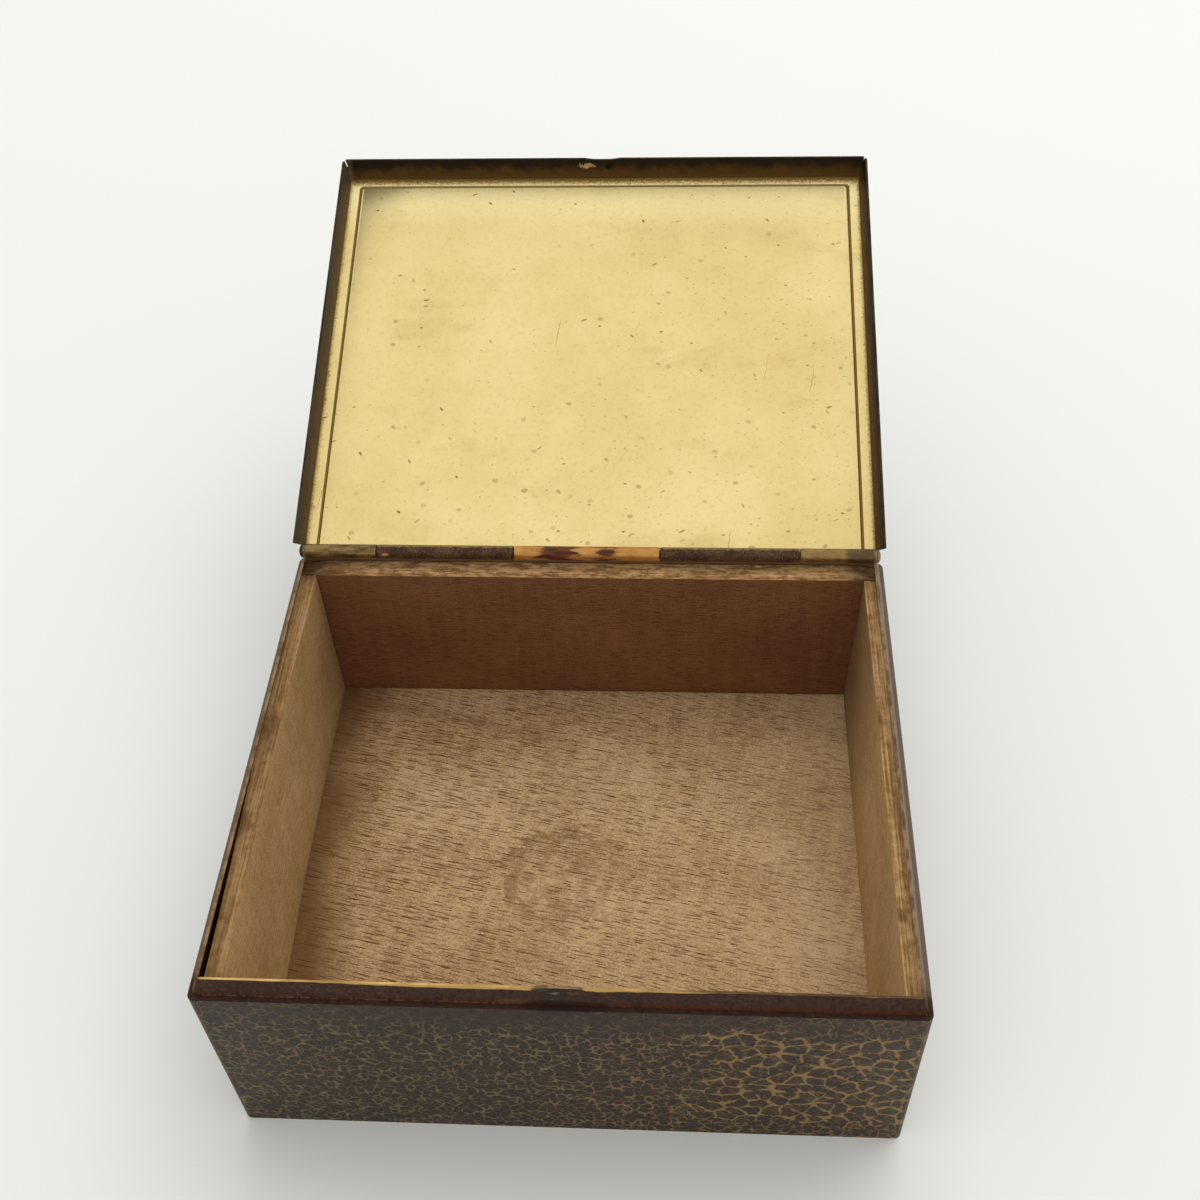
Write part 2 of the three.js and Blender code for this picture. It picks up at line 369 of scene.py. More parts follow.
def crackle(tree, where):
    """All the cracks together, and the hair lines by themselves."""
    x, y, z = split(tree, where)
    unfolded = put(tree, "TexCoord", {}).outputs["UV"]
    on_back = maths(tree, "GREATER_THAN", y, half_depth - mm)
    shifted = vector_maths(tree, "ADD", unfolded, on_back)
    drawn = stretched(tree, shifted, (0.9, 0.88, 1))
    jagged = ruffled(tree, ruffled(tree, drawn, 300, 1.6 * mm), 1300, 0.9 * mm)
    off_ledge = away_from(tree, z, ledge_z)
    bold = boldness(tree, where, off_ledge)
    uneven = ramp(tree, noise(tree, shifted, 430), 0.3, 0.7, -0.07, 0.06)

    spread = plus(tree, uneven, ramp(tree, bold, 0.1, 0.9, -0.04, 0.06))
    broad = crack_lines(tree, jagged, broad_scale, spread, 0.05)
    broad = times(tree, broad, ramp(tree, off_ledge, 0.8 * mm, 3.5 * mm), ramp(tree, bold, 0.1, 0.5))

    broken = ramp(tree, noise(tree, shifted, 380, 3), 0.38, 0.58, 0.15, 1)
    at_ledge = ramp(tree, away_from(tree, x), 15 * mm, 45 * mm, 0.08, 0.5)
    below_ledge = ramp(tree, off_ledge, 0.8 * mm, 11 * mm, at_ledge, 1)
    thin = crack_lines(tree, jagged, thin_scale, plus(tree, uneven, 0.09), 0.08)
    thin = times(tree, thin, broken, below_ledge, ramp(tree, bold, 0, 1, 0.95, 0.3))

    faded = ramp(tree, noise(tree, where, 150), 0.38, 0.62, 0.18, 0.42)
    hair = times(tree, crack_lines(tree, jagged, hair_scale, uneven, 0.12), faded)
    return largest(tree, broad, thin, hair), hair


# %% [markdown]
# ## Wear and painted light on the lip
#
# Hands and the lid have worked on the lip for years. In front it is redder than the wall and
# nearly whole, warm along its foot and rubbed to bare metal along its top, and the ledge under
# it is painted darker as shade. At the sides it is greyer, a painted sheen of the light on it.
# Each of these is a colour and a mask, and a mask is a product of ramps: one on the height over
# the ledge, one that keeps to the front, and one on a noise for a ragged edge.

# %% Paint of the lip, with its painted shade and sheen
catch_x = 0.6 * mm


def in_front(tree, y):
    return ramp(tree, y, -half_depth + 6 * mm, -half_depth + 3 * mm)


def front_lip_paint_and_shade(tree, x, up, patchy, fine, hair):
    """Reddish brown with more hair lines on the left, and darker on the ledge, where shade under the lip is
    painted in.
    """
    paint = blend(tree, patchy, colour(49, 30, 21), colour(65, 41, 30))
    on_left = ramp(tree, x, -5 * mm, -35 * mm, 0.9, 1.8)
    paint = blend(tree, times(tree, hair, on_left), paint, colour(98, 74, 58))
    paint = blend(tree, ramp(tree, fine, 0.5, 0.7, 0, 0.4), paint, colour(84, 54, 42))
    paint = blend(tree, ramp(tree, fine, 0.5, 0.34, 0, 0.45), paint, colour(32, 18, 13))
    # The ledge is painted darker: painted shade under the lip.
    return blend(tree, ramp(tree, up, 0.03 * mm, 0.12 * mm, 0.55, 1), colour(38, 23, 17), paint)


def side_lip_paint_and_sheen(tree, up, patchy, hair):
    # The side lip is painted greyer than the wall, a painted sheen of the light on it, with hair lines over
    # it.
    painted_sheen = blend(tree, patchy, colour(102, 85, 70), colour(138, 117, 97))
    paint = blend(tree, ramp(tree, up, 0.2 * mm, 1.0 * mm), colour(112, 95, 82), painted_sheen)
    return blend(tree, hair, paint, colour(70, 54, 44))


def bare_top(tree, x, up, patchy):
    """How bare the front lip's top is: most on the left, and not at all on the catch."""
    depth = ramp(tree, away_from(tree, x, -6 * mm), 8 * mm, 40 * mm, 0.4 * mm, 0)
    beside_catch = ramp(tree, away_from(tree, x, catch_x), 3.4 * mm, 4.6 * mm)
    ragged = ramp(tree, patchy, 0.3, 0.7, -0.1 * mm, 0.08 * mm)
    depth = plus(tree, times(tree, depth, beside_catch), ragged)
    from_top = minus(tree, lip_rise, up)
    return ramp(tree, minus(tree, from_top, depth), 0.12 * mm, -0.12 * mm, 0, 0.9)


def lip_wear_and_light(tree, painted, where, hair):
    """Lays the lip's paint, its wear, and its painted shade and sheen over the colour of the wall."""
    x, y, z = split(tree, where)
    up = minus(tree, z, ledge_z)
    at_front = in_front(tree, y)
    patchy = noise(tree, where, 260, 4)
    fine = noise(tree, where, 1300, 3)
    front = times(tree, ramp(tree, up, -0.05 * mm, -0.01 * mm), at_front)
    painted = blend(tree, front, painted, front_lip_paint_and_shade(tree, x, up, patchy, fine, hair))
    sides = times(tree, minus(tree, 1, at_front), ramp(tree, up, -0.06 * mm, -0.01 * mm))
    painted = blend(tree, sides, painted, side_lip_paint_and_sheen(tree, up, patchy, hair))

    foot = times(tree, ramp(tree, up, 1.3 * mm, 0.3 * mm), ramp(tree, up, 0.03 * mm, 0.12 * mm), at_front)
    foot = times(tree, foot, ramp(tree, patchy, 0.32, 0.6, 0.25, 0.85))
    foot = times(tree, foot, ramp(tree, x, -8 * mm, 12 * mm, 0.45, 1))
    painted = blend(tree, foot, painted, colour(84, 37, 20))
    line = times(tree, ramp(tree, away_from(tree, up, 0.25 * mm), 0.2 * mm, 0.05 * mm), at_front)
    line = times(tree, line, ramp(tree, fine, 0.42, 0.6), ramp(tree, x, 16 * mm, 2 * mm, 0.15, 0.6))
    painted = blend(tree, line, painted, colour(126, 82, 44))
    top = times(tree, bare_top(tree, x, up, patchy), at_front)
    return blend(tree, top, painted, colour(204, 162, 96))


# %% Marks round the catch, with painted shade and painted glints
def catch_marks_and_light(tree, painted, where):
    """Each mark has a centre, a squeeze along x, an outer and inner radius, a colour and a share. The first
    is painted shade along the foot under the catch, the last two are painted glints on the bead.
    """
    x, y, z = split(tree, where)
    up = minus(tree, z, ledge_z)
    at_front = in_front(tree, y)
    ragged = ramp(tree, noise(tree, where, 900, 3), 0.25, 0.75, -0.12 * mm, 0.12 * mm)
    marks = (
        # painted shade along the foot under the catch
        ((1.0, 0.3), 0.11, (1.0, 0.5), colour(34, 18, 9), 0.85),
        ((-6.8, 0.7), 0.2, (0.7, 0.2), colour(104, 72, 36), 0.5),
        ((-0.3, 2.2), 0.5, (1.5, 0.9), colour(46, 38, 26), 0.85),
        ((-2.3, 3.2), 0.3, (0.7, 0.3), colour(66, 60, 38), 0.8),
        ((3.0, 2.6), 0.35, (0.5, 0.2), colour(108, 72, 46), 0.3),
        # painted glints on the bead: painted highlights
        ((-0.5, 2.5), 0.14, (0.26, 0.05), colour(112, 112, 96), 0.8),
        ((0.1, 1.4), 0.2, (0.24, 0.05), colour(84, 88, 78), 0.5),
    )
    for centre, squeeze, (outer, inner), tone, share in marks:
        squeezed = (centre[0] * squeeze, centre[1])
        distance = spot(tree, times(tree, x, squeeze), up, squeezed, ragged)
        mark = times(tree, ramp(tree, distance, outer * mm, inner * mm, 0, share), at_front)
        painted = blend(tree, mark, painted, tone)
    return painted


# %% [markdown]
# ## Lacquer of case and lid
#
# Both sheets carry the same lacquer, so one function makes its nodes and two more add what
# differs: on the case the worn lip with its painted shade and sheen, and the catch's marks with
# their painted shade and glints; on the lid the grainy knuckles. The lid stands open in the
# frame. Its coordinates are turned back about the hinge first, so that tones and cracks follow
# the shut box.

# %% Lacquer
rear_gap = 0.3 * mm
rear_y = hinge.y - roll_radius - rear_gap


def crackle_lacquer(name, location=(0, 0, 0), turn=(0, 0, 0)):
    finish, tree, shader = new_finish(name)
    where = place(tree, location, turn)
    cracks, hair = crackle(tree, where)
    islands = blend(tree, noise(tree, where, 90, 3), colour(39, 27, 19), colour(51, 37, 28))
    cool = ramp(tree, noise(tree, where, 210), 0.5, 0.66, 0, 0.5)
    islands = blend(tree, cool, islands, colour(43, 34, 32))
    to_right = ramp(tree, split(tree, where)[0], -20 * mm, 40 * mm)
    gold = blend(tree, to_right, colour(112, 96, 70), colour(136, 108, 68))
    painted = blend(tree, cracks, islands, gold)
    fill(tree, shader.inputs["Roughness"], ramp(tree, cracks, 0, 1, 0.42, 0.6))
    shader.inputs["Specular IOR Level"].default_value = 0.14
    relief(tree, shader, ramp(tree, cracks, 0, 1, 1, 0), 0.12 * mm, 0.5)
    return finish, tree, shader, where, painted, hair


def lacquer_of_case():
    finish, tree, shader, where, painted, hair = crackle_lacquer("case_crackle_lacquer")
    painted = lip_wear_and_light(tree, painted, where, hair)
    fill(tree, shader.inputs["Base Color"], catch_marks_and_light(tree, painted, where))
    return finish


def rolled_lacquer(tree, where):
    """The lid's knuckles are darker, grainy, and frayed along the side that meets the panel."""
    grit = noise(tree, where, 2900, 4, 0.7)
    patchy = ramp(tree, noise(tree, where, 420, 3), 0.3, 0.7)
    rolled = blend(tree, patchy, colour(60, 38, 25), colour(90, 63, 42))
    rolled = blend(tree, ramp(tree, grit, 0.55, 0.68, 0, 0.7), rolled, colour(144, 108, 64))
    rolled = blend(tree, ramp(tree, grit, 0.5, 0.4, 0, 0.6), rolled, colour(26, 15, 10))

    x, open_y, open_z = split(tree, place(tree))
    back_side = times(tree, minus(tree, open_y, hinge.y), 0.82)
    upper_side = times(tree, minus(tree, open_z, hinge.z), 0.57)
    fray = 0.16 * roll_radius
    frayed = ramp(tree, noise(tree, where, 900, 3), 0.25, 0.75, -fray, fray)
    over_roll = plus(tree, back_side, upper_side, frayed)
    ridge = ramp(tree, over_roll, 0.52 * roll_radius, 0.7 * roll_radius, 0, 0.85)
    rolled = blend(tree, ridge, rolled, colour(126, 106, 62))
    fleck = spot(tree, times(tree, x, 0.4), open_z, (-41.2 * 0.4, hinge.z / mm + 0.5))
    return blend(tree, ramp(tree, fleck, 0.4 * mm, 0.15 * mm), rolled, colour(176, 136, 76))


def lacquer_of_lid(to_shut, turn):
    finish, tree, shader, where, painted, _ = crackle_lacquer("lid_crackle_lacquer", to_shut, turn)
    on_roll = ramp(tree, split(tree, where)[1], rear_y, rear_y + 0.5 * mm)
    painted = blend(tree, on_roll, painted, rolled_lacquer(tree, where))
    fill(tree, shader.inputs["Base Color"], painted)
    return finish


case_lacquer = lacquer_of_case()
back_to_shut = Matrix.Rotation(open_angle, 3, "X")
shut_offset = hinge - back_to_shut @ hinge
shut_turn = (open_angle, 0, 0)
lid_lacquer = lacquer_of_lid(shut_offset, shut_turn)
print(case_lacquer.name, len(case_lacquer.node_tree.nodes), "nodes")

# %% [markdown]
# ## Bare brass of the case
#
# Inside the case and along its cut edges there is no lacquer, only brass that has gone dull.
# One function makes it cloudy, and a second one that is handed to it adds the patches of each
# place. The three knuckles of the case have been rubbed through to the metal, the middle one
# most. They get a finish of their own, streaked along the roll, with two rests of old paint.

# %% Dull brass and raw edges
def dull_brass(name, dark, light, roughness, patches=None):
    """Cloudy brass. `patches` may add more to the colour."""
    finish, tree, shader = new_finish(name)
    where = place(tree)
    cloud = noise(tree, where, 120, 4, 0.6)
    brass = blend(tree, ramp(tree, cloud, 0.35, 0.65), dark, light)
    if patches:
        brass = patches(tree, brass, where)
    fill(tree, shader.inputs["Base Color"], brass)
    fill(tree, shader.inputs["Roughness"], ramp(tree, cloud, 0.3, 0.7, roughness + 0.12, roughness))
    shader.inputs["Metallic"].default_value = 0.6
    shader.inputs["Specular IOR Level"].default_value = 0.2
    relief(tree, shader, noise(tree, where, 900, 3), 0.05 * mm, 0.5)
    return finish


def inside_patches(tree, brass, where):
    """The right lip is scoured pale, and the strip above the back board, in shade under the knuckles, is
    painted lighter as painted light.
    """
    x, y, z = split(tree, where)
    right_lip = times(tree, ramp(tree, x, 40 * mm, 50 * mm), ramp(tree, z, ledge_z - 0.7 * mm, ledge_z))
    brass = blend(tree, right_lip, brass, colour(176, 158, 134))
    # Painted light: the strip above the back board lies in shade under the knuckles and is painted bright.
    behind = ramp(tree, y, half_depth - 1.6 * mm, half_depth - 1.2 * mm)
    behind = times(tree, behind, ramp(tree, z, lining_top - mm, lining_top))
    return blend(tree, behind, brass, colour(150, 120, 86))


def edge_patches(tree, brass, where):
    """The edge is bright along the front on the left, and dull at the sides and on the catch."""
    x, y, _ = split(tree, where)
    beside = ramp(tree, y, -half_depth + 3 * mm, -half_depth + 6 * mm)
    on_catch = ramp(tree, away_from(tree, x, catch_x), 4.6 * mm, 3.4 * mm)
    on_right = ramp(tree, x, 8 * mm, 30 * mm)
    at_corner = ramp(tree, away_from(tree, x), half_width - 2.6 * mm, half_width - 2.2 * mm)
    specks = ramp(tree, noise(tree, where, 420, 4), 0.35, 0.65)
    dull = blend(tree, specks, colour(84, 62, 46), colour(142, 116, 88))
    dull = blend(tree, minus(tree, on_right, beside), dull, colour(78, 54, 36))
    dulled = largest(tree, beside, on_catch, on_right, at_corner)
    return blend(tree, times(tree, dulled, 0.9), brass, dull)


def pin_patches(tree, brass, where):
    """The pin's right end is worn pale."""
    pale = ramp(tree, split(tree, where)[0], 56 * mm, 58 * mm, 0, 0.8)
    return blend(tree, pale, brass, colour(150, 134, 112))


inner_brass = dull_brass("inner_brass", colour(66, 46, 26), colour(104, 76, 42), 0.5, inside_patches)
raw_edge = dull_brass("raw_edge_brass", colour(170, 132, 76), colour(220, 180, 112), 0.42, edge_patches)
lid_edge = dull_brass("lid_edge_brass", colour(44, 31, 22), colour(78, 58, 38), 0.5)
pin_brass = dull_brass("pin_brass", colour(58, 46, 30), colour(96, 78, 48), 0.48, pin_patches)
print("brass:", inner_brass.name, raw_edge.name, lid_edge.name, pin_brass.name)


# %% Worn knuckles
def worn_knuckles():
    finish, tree, shader = new_finish("worn_knuckle_brass")
    where = place(tree)
    x = split(tree, where)[0]
    streaks = noise(tree, stretched(tree, where, (260, 800, 800)), 1, 4)
    mottle = noise(tree, where, 480, 4, 0.65)
    olive = blend(tree, ramp(tree, streaks, 0.35, 0.65), colour(86, 68, 38), colour(142, 116, 66))
    olive = blend(tree, ramp(tree, mottle, 0.48, 0.66, 0, 0.6), olive, colour(74, 54, 32))
    olive = blend(tree, ramp(tree, x, 0, mm, 0, 0.35), olive, colour(160, 122, 72))
    olive = blend(tree, ramp(tree, x, 51.5 * mm, 53 * mm, 0, 0.7), olive, colour(62, 52, 34))
    honey = blend(tree, streaks, colour(150, 98, 44), colour(214, 160, 86))
    honey = blend(tree, ramp(tree, mottle, 0.54, 0.72, 0, 0.5), honey, colour(120, 74, 34))
    in_middle = ramp(tree, away_from(tree, x), 16 * mm, 14.9 * mm)
    brass = blend(tree, in_middle, olive, honey)

    jagged = noise(tree, stretched(tree, where, (240, 1100, 1100)), 1, 5, 0.65)
    wander = ramp(tree, jagged, 0.25, 0.75, -2.4 * mm, 2.4 * mm)
    paint = blend(tree, ramp(tree, jagged, 0.35, 0.65), colour(46, 18, 11), colour(108, 54, 30))
    soft = 1.1 * mm
    for rest_x, rest_half in ((-5.8 * mm, 3.7 * mm), (3.9 * mm, 1.3 * mm)):
        distance = plus(tree, away_from(tree, x, rest_x), wander)
        rest = ramp(tree, distance, rest_half + soft, rest_half - soft, 0, 0.95)
        brass = blend(tree, rest, brass, paint)
    fill(tree, shader.inputs["Base Color"], brass)
    fill(tree, shader.inputs["Roughness"], ramp(tree, streaks, 0.3, 0.7, 0.42, 0.26))
    shader.inputs["Metallic"].default_value = 0.7
    relief(tree, shader, plus(tree, streaks, mottle), 0.06 * mm, 0.5)
    return finish


knuckle_brass = worn_knuckles()
print(knuckle_brass.name, len(knuckle_brass.node_tree.nodes), "nodes")

# %% [markdown]
# ## The case sheet
#
# The walls are one bent strip, so they are a cube without top and bottom, with its upright
# edges bevelled to the bend of the sheet. The inset of the top face gives the narrow ledge
# that the lid's rim sits on. Front and sides then get a lip that leans inwards, the sides less
# than the front. It is drawn out edge by edge, so that it stays open at the corners, as the
# cut sheet does.

# %% Walls and ledge
corner_radius = 1.2 * mm
bpy.ops.object.select_all(action="DESELECT")
bpy.ops.mesh.primitive_cube_add(
    size=1, location=(0, 0, ledge_z / 2), scale=(2 * half_width, 2 * half_depth, ledge_z))
case = begin("case_sheet")
pick("EDGE", lambda e: near(middle(e).z, ledge_z / 2))
bpy.ops.mesh.bevel(offset=corner_radius, segments=5, affect="EDGES")
pick("FACE", lambda f: f.normal.z > 0.9)
bpy.ops.mesh.inset(thickness=ledge_width)
bpy.ops.mesh.delete(type="FACE")
pick("FACE", lambda f: f.normal.z < -0.9)
bpy.ops.mesh.delete(type="FACE")
behind_ledge = half_depth - ledge_width
pick("FACE", lambda f: f.normal.z > 0.9 and middle(f).y > behind_ledge and abs(middle(f).x) < corner_radius)
bpy.ops.mesh.delete(type="FACE")
print("faces of walls and ledge:", pick("FACE", lambda f: True))

# %% Lip on three sides
corner_opening = 0.2 * mm
side_foot = 0.22 * mm
side_lean = 0.85 * mm
hairline = 0.05 * mm
straight_x = half_width - corner_radius
straight_y = half_depth - corner_radius
lip_end_zone = -straight_y + corner_radius / 2
front_lip_end = half_width - ledge_width - side_lean - corner_opening
side_lip_end = -half_depth + ledge_width + lip_lean + corner_opening


def lip_foot(axis, place_on_axis):
    """A test for the long inner edge of the ledge on one side."""
    def test(edge):
        at_place = near(middle(edge)[axis], place_on_axis) and near(middle(edge).z, ledge_z)
        return edge.is_boundary and at_place and edge.calc_length() > half_depth
    return test


pick("EDGE", lip_foot(1, -half_depth + ledge_width))
draw_out(0, lip_lean, lip_rise)
bpy.ops.transform.resize(value=(front_lip_end / straight_x, 1, 1), center_override=(0, 0, 0))
for side in (-1, 1):
    pick("EDGE", lip_foot(0, side * (half_width - ledge_width)))
    bpy.ops.transform.translate(value=(side * side_foot, 0, 0))
    draw_out(-side * (side_lean + side_foot), 0, lip_rise)
    pick("VERT", lambda v: near(v.co.z, lip_top) and v.co.y < lip_end_zone and v.co.x * side > 0)
    bpy.ops.transform.translate(value=(0, side_lip_end + straight_y, 0))
    pick("EDGE", lambda e: e.is_boundary and near(middle(e).y, straight_y) and middle(e).x * side > 0
         and middle(e).z > ledge_z + mm)
    draw_out(0, corner_radius - hairline, 0)
print("lip ends at", round(lip_top / mm, 2), "mm")

# %% [markdown]
# ## Ears, knuckles and catch
#
# The side lips end in round ears that hold the pin. An ear is a short stretch of the lip's
# top edge drawn up, with its two corners bevelled round. The knuckles are strips of the back
# wall, raised to the height of the pin and then rolled about it with the spin tool. The
# catch is a bead pressed out of the front lip, which proportional editing does well.

# %% Ears that hold the pin
ear_half = 1.36 * mm
ear_corner = 0.85 * mm
ear_rise = hinge.z + roll_radius - lip_top


def on_side_lip(face):
    return abs(face.normal.x) > 0.8 and middle(face).z > ledge_z + mm


for end in (-1, 1):
    slice_at(on_side_lip, (0, hinge.y + end * ear_half, 0), (0, 1, 0))
for side in (-1, 1):
    pick("EDGE", lambda e: e.is_boundary and near(middle(e).z, lip_top) and middle(e).x * side > 0
         and abs(middle(e).y - hinge.y) < ear_half and e.calc_length() < 2 * ear_half)
    draw_out(0, 0, ear_rise)
    pick("VERT", lambda v: near(v.co.z, lip_top + ear_rise) and v.co.x * side > 0
         and near(abs(v.co.y - hinge.y), ear_half))
    bpy.ops.mesh.bevel(offset=ear_corner, segments=4, affect="VERTICES")
print("ears rise", round(ear_rise / mm, 2), "mm above the lip")

# %% Knuckles rolled from the back wall
knuckle_gap = 0.3 * mm
lid_knuckle = 28.2 * mm
middle_knuckle = 29.7 * mm
hinge_half = half_width - ledge_width - side_lean - sheet - hairline
inner_end = middle_knuckle / 2
outer_end = inner_end + lid_knuckle
case_spans = [
    (-hinge_half, -outer_end - knuckle_gap / 2),
    (-inner_end + knuckle_gap / 2, inner_end - knuckle_gap / 2),
    (outer_end + knuckle_gap / 2, hinge_half),
]
notch_z = hinge.z - roll_radius
roll_angle = math.radians(300)
roll_steps = 20


def within(spans, x):
    return any(start < x < end for start, end in spans)


for start, end in case_spans:
    for cut_x in (start, end):
        slice_at(lambda f: f.normal.y > 0.9, (cut_x, 0, 0), (1, 0, 0))
pick("EDGE", lambda e: e.is_boundary and near(middle(e).y, half_depth) and near(middle(e).z, ledge_z))
draw_out(0, 0, notch_z - ledge_z)
rolled = pick("EDGE", lambda e: e.is_boundary and near(middle(e).z, notch_z)
              and within(case_spans, middle(e).x))
draw_out(0, 0, hinge.z - notch_z)
bpy.ops.mesh.spin(steps=roll_steps, angle=-roll_angle, center=hinge, axis=(1, 0, 0))
print("edges rolled on the case:", rolled)

# %% The catch's bead
bead_patch = 6 * mm
bead_cuts = 23
bead_half = 1.3 * mm
bead_height = 0.17 * mm
bead_reach = 0.9 * mm
bead_z = ledge_z + lip_rise / 2
bead_y = -half_depth + ledge_width + lip_lean / 2
lip_outwards = Vector((0, -lip_rise, lip_lean)).normalized()
bulge_half = 2.2 * mm
bulge = (0, 0.1 * mm, 0.22 * mm)
bulge_reach = 1.6 * mm


def on_front_lip(face):
    return middle(face).z > ledge_z + mm and face.normal.y < -0.8


for end in (-1, 1):
    slice_at(on_front_lip, (end * bead_patch, 0, 0), (1, 0, 0))
pick("FACE", lambda f: on_front_lip(f) and abs(middle(f).x) < bead_patch)
bpy.ops.mesh.subdivide(number_cuts=bead_cuts)
pressed = press(
    lambda v: abs(v.co.x) < bead_half and near(v.co.z, bead_z, 0.2 * mm) and near(v.co.y, bead_y, mm),
    lip_outwards * bead_height, bead_reach)
press(lambda v: abs(v.co.x) < bulge_half and near(v.co.z, lip_top) and v.co.y < -straight_y + 2 * mm,
      bulge, bulge_reach)
print("vertices on the bead:", pressed)

# %% [markdown]
# ## Thickness of the case
#
# So far the sheet has no thickness. The Solidify modifier gives it one, inwards, and hands
# out the finishes by slot: lacquer outside, dull brass inside, bare metal on the cut edges.
# The knuckles get their own slot before that. A small bevel then takes the sharpness off the
# edges, as a file would.

# %% Thickness and edges of the case
sheet_edge = 0.09 * mm
sharp_angle = math.radians(40)
knuckle_slot = 3


def thicken(piece, offset):
    """Makes the sheet solid: the first slot is outside, the second inside, the third on the rim."""
    use_modifier(piece, "SOLIDIFY", thickness=sheet, offset=offset, use_even_offset=True,
                 material_offset=1, material_offset_rim=2)


def break_edges(piece, width):
    use_modifier(piece, "BEVEL", width=width, segments=2, limit_method="ANGLE", angle_limit=sharp_angle)


turn_outwards()
unfold()
for finish in (case_lacquer, inner_brass, raw_edge, knuckle_brass):
    case.data.materials.append(finish)
roll_reach = roll_radius * 1.05
pick("FACE", lambda f: (middle(f).yz - hinge.yz).length < roll_reach and within(case_spans, middle(f).x))
case.active_material_index = knuckle_slot
bpy.ops.object.material_slot_assign()
bpy.ops.object.mode_set(mode="OBJECT")
thicken(case, -1)
break_edges(case, sheet_edge)
close(case, "case", "lacquered_case", "case_shell")

# %% [markdown]
# ## Satin gold of the lid's inside
#
# The inside was never lacquered over: it is satin gold, with specks and short dashes of
# tarnish, soft smudges, and brown overspray that fades in from the flange. Some of its colour is
# painted light: the panel is painted brighter towards the front, the fold darker as shade, and
# the flange carries a painted reflection, a painted sheen, and a painted highlight and shade at
# the dent. The coordinates are turned back about the hinge here too. After that x and y lie
# along the panel, and z tells groove, panel and flange apart.

# %% Tarnish
def tarnish(tree, where):
    """Specks, soft spots, commas and thin scratches, denser towards the right or the hinge."""
    x, y, _ = split(tree, where)
    loose = ruffled(tree, where, 700, 0.9 * mm)
    crowd = ramp(tree, plus(tree, x, y), -60 * mm, 90 * mm, 0.1, 0.5)
    specks = dashes(tree, loose, (2.3, 2.0), 0.5, 0.34, crowd)
    larger = dashes(tree, loose, (6.5, 5.5), 0.9, 0.5, ramp(tree, x, -30 * mm, 40 * mm, 0.12, 0.4))
    soft = dashes(tree, loose, (7.5, 6.8), 1.35, 1.1, ramp(tree, y, -20 * mm, 35 * mm, 0.08, 0.5))
    marks = largest(tree, times(tree, specks, 0.5), times(tree, larger, 0.85), times(tree, soft, 0.5))
    for angle, size, keep in ((24, (1.6, 0.5), 0.1), (-55, (1.2, 0.55), 0.14), (82, (9, 0.13), 0.16)):
        sockets = {"Vector": loose, "Rotation": (0, 0, math.radians(angle))}
        turned = put(tree, "Mapping", sockets).outputs["Vector"]
        strokes = dashes(tree, turned, (size[0] * 5 + 2, 7), *size, keep)
        marks = largest(tree, marks, times(tree, strokes, 0.9))
    return marks


# %% Paint on the flange, and light painted on it
panel_z = hinge.z + roll_radius - sheet
rim_gap = 0.3 * mm
rim_z = ledge_z + rim_gap
lid_clearance = 0.45 * mm
fold_inset = ledge_width + lean_slope * (panel_z - ledge_z) - lid_clearance
side_ease = 0.4 * mm
fold_x = half_width - fold_inset + side_ease
fold_y = half_depth - fold_inset


def flange_paint_and_light(tree, where):
    """Lacquer that ran over the flange, dark at the rim, with painted light on it: warmer towards the fold
    as a painted reflection of the gold panel, a painted sheen on the left, and a painted highlight and
    painted shade at the dent.
    """
    x, y, z = split(tree, where)
    wave = ramp(tree, noise(tree, where, 320, 4, 0.6), 0.3, 0.7, -0.6 * mm, 0.6 * mm)
    # Warmer towards the fold: a painted reflection of the gold panel in the lacquer.
    panel_reflection = ramp(tree, plus(tree, z, wave), rim_z + 0.9 * mm, panel_z - 0.4 * mm)
    paint = blend(tree, panel_reflection, colour(31, 20, 12), colour(84, 58, 20))
    # A painted sheen on the left flange, greyer and lighter.
    left_sheen = ramp(tree, x, -fold_x + mm, -fold_x, 0, 0.35)
    paint = blend(tree, left_sheen, paint, colour(112, 98, 80))
    at_front = ramp(tree, y, -fold_y + mm, -fold_y)
    # A painted highlight on the rim beside the dent.
    painted_sheen = ramp(tree, spot(tree, times(tree, x, 0.3), z, (-1.0, 47.6), wave), 0.55 * mm, 0.15 * mm)
    paint = blend(tree, times(tree, painted_sheen, at_front), paint, colour(172, 146, 98))
    # Painted shade in the dent's hollow.
    dent_shade = ramp(tree, spot(tree, x, z, (1.2, 47.6), wave), 1.1 * mm, 0.5 * mm)
    return blend(tree, times(tree, dent_shade, at_front), paint, colour(16, 9, 5))


# %% Satin gold
def overspray(tree, where, side_gap, front_gap):
    """How much brown spray lies on the gold: a narrow band at the sides, a wider one in front."""
    grain = ramp(tree, noise(tree, where, 3000), 0.25, 0.75, -0.5 * mm, 0.5 * mm)
    side_grain = plus(tree, side_gap, times(tree, grain, 0.5))
    side_spray = ramp(tree, side_grain, 0.8 * mm, -0.2 * mm, 0, 0.9)
    front_spray = ramp(tree, plus(tree, front_gap, grain), 2.8 * mm, 1.0 * mm, 0.2, 1)
    before_crease = ramp(tree, front_gap, 3.0 * mm, 2.2 * mm)
    return largest(tree, side_spray, times(tree, front_spray, before_crease))


